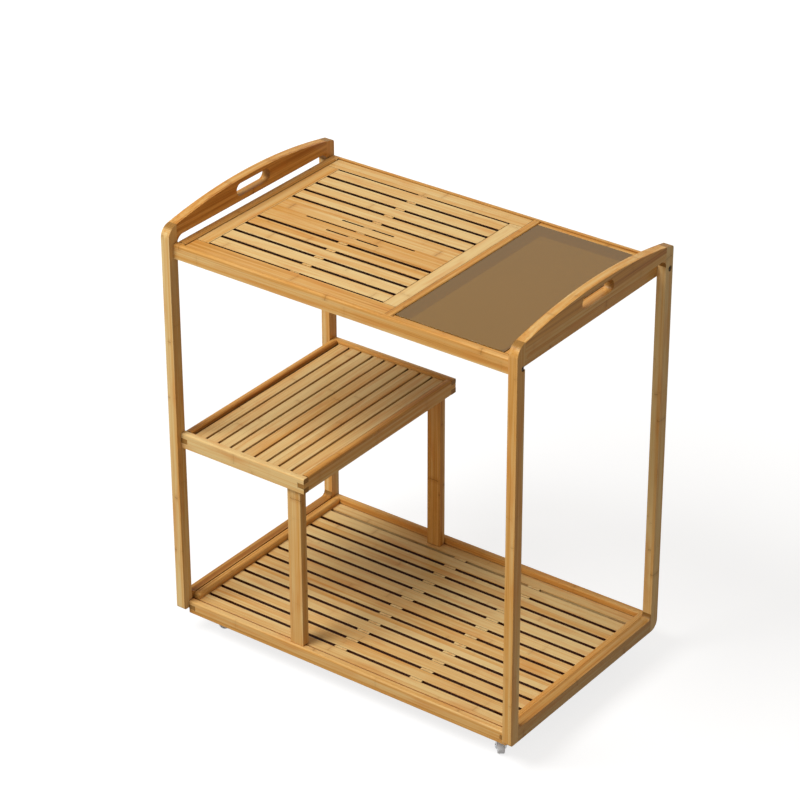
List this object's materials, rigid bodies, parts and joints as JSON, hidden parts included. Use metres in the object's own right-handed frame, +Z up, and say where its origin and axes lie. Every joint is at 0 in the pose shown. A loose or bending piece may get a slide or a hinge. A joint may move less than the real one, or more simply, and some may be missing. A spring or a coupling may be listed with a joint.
{
  "type": "tea cart",
  "caption": "Bamboo tea cart on small swivel casters: slatted deck with a tinted glass bay, arched handles, half-width middle shelf and slatted lower shelf.",
  "frame": {"origin": "on the floor under the middle of the cart's bounding box", "axes": "+Z up, +X along the cart's width towards the glass end, -Y to the open front that the picture shows"},
  "size_m": [0.68, 0.425, 0.7765],
  "materials": {
    "bamboo": "satin lacquer over strip-laminated bamboo",
    "bamboo_plain": "thin lacquer over strip-laminated bamboo",
    "tinted_glass": "polished bronze-tinted glass",
    "clear_pad": "soft matt",
    "zinc_steel": "bright zinc plating",
    "wheel_plastic": "moulded, slightly worn"
  },
  "bodies": {
    "cart": {"post_front_left": "bamboo", "post_front_right": "bamboo", "post_back_left": "bamboo", "post_back_right": "bamboo", "handle_panel_left": "bamboo", "handle_panel_right": "bamboo", "foot_rail_left": "bamboo", "foot_rail_right": "bamboo", "deck_rail_front": "bamboo", "deck_rail_back": "bamboo", "deck_rail_left": "bamboo", "deck_rail_right": "bamboo", "deck_divider": "bamboo", "deck_slats": "bamboo", "deck_border_boards": "bamboo", "deck_centre_board": "bamboo", "deck_end_boards": "bamboo", "deck_cross_batten": "bamboo", "deck_end_battens": "bamboo_plain", "glass_panel": "tinted_glass", "glass_ledge_strips": "bamboo", "glass_cleats": "bamboo_plain", "glass_pads": "clear_pad", "mid_rail_front": "bamboo", "mid_rail_back": "bamboo", "mid_rail_left": "bamboo", "mid_rail_right": "bamboo", "mid_slats": "bamboo", "mid_cleats": "bamboo_plain", "support_post_front": "bamboo", "support_post_back": "bamboo", "low_rail_front": "bamboo", "low_rail_back": "bamboo", "low_rail_left": "bamboo", "low_rail_right": "bamboo", "low_slats": "bamboo", "low_border_boards": "bamboo", "low_cross_battens": "bamboo", "low_end_battens": "bamboo_plain", "caster_blocks": "bamboo_plain", "frame_bolts": "zinc_steel", "barrel_nuts": "zinc_steel", "frame_screws": "zinc_steel", "caster_screws": "zinc_steel", "caster_plate_front_left": "zinc_steel", "caster_plate_front_right": "zinc_steel", "caster_plate_back_left": "zinc_steel", "caster_plate_back_right": "zinc_steel"},
    "swivel_front_left": {"caster_fork_front_left": "zinc_steel", "caster_axle_front_left": "zinc_steel"},
    "wheel_front_left": {"caster_wheel_front_left": "wheel_plastic"},
    "swivel_front_right": {"caster_fork_front_right": "zinc_steel", "caster_axle_front_right": "zinc_steel"},
    "wheel_front_right": {"caster_wheel_front_right": "wheel_plastic"},
    "swivel_back_left": {"caster_fork_back_left": "zinc_steel", "caster_axle_back_left": "zinc_steel"},
    "wheel_back_left": {"caster_wheel_back_left": "wheel_plastic"},
    "swivel_back_right": {"caster_fork_back_right": "zinc_steel", "caster_axle_back_right": "zinc_steel"},
    "wheel_back_right": {"caster_wheel_back_right": "wheel_plastic"}
  },
  "joints": [
    {"name": "swivel_turn_front_left", "type": "hinge", "parent": "cart", "child": "swivel_front_left", "pos_m": [-0.2889, -0.1664, 0.036], "axis": [0, 0, 1], "continuous": true},
    {"name": "wheel_roll_front_left", "type": "hinge", "parent": "swivel_front_left", "child": "wheel_front_left", "pos_m": [-0.28327, -0.1558, 0.013], "axis": [-0.8829, 0.4695, 0], "continuous": true},
    {"name": "swivel_turn_front_right", "type": "hinge", "parent": "cart", "child": "swivel_front_right", "pos_m": [0.2889, -0.1664, 0.036], "axis": [0, 0, 1], "continuous": true},
    {"name": "wheel_roll_front_right", "type": "hinge", "parent": "swivel_front_right", "child": "wheel_front_right", "pos_m": [0.29629, -0.17586, 0.013], "axis": [0.788, 0.6157, 0], "continuous": true},
    {"name": "swivel_turn_back_left", "type": "hinge", "parent": "cart", "child": "swivel_back_left", "pos_m": [-0.2889, 0.1764, 0.036], "axis": [0, 0, 1], "continuous": true},
    {"name": "wheel_roll_back_left", "type": "hinge", "parent": "swivel_back_left", "child": "wheel_back_left", "pos_m": [-0.27907, 0.16952, 0.013], "axis": [0.5736, 0.8192, 0], "continuous": true},
    {"name": "swivel_turn_back_right", "type": "hinge", "parent": "cart", "child": "swivel_back_right", "pos_m": [0.2889, 0.1764, 0.036], "axis": [0, 0, 1], "continuous": true},
    {"name": "wheel_roll_back_right", "type": "hinge", "parent": "swivel_back_right", "child": "wheel_back_right", "pos_m": [0.27802, 0.17133, 0.013], "axis": [0.4226, -0.9063, 0], "continuous": true}
  ]
}
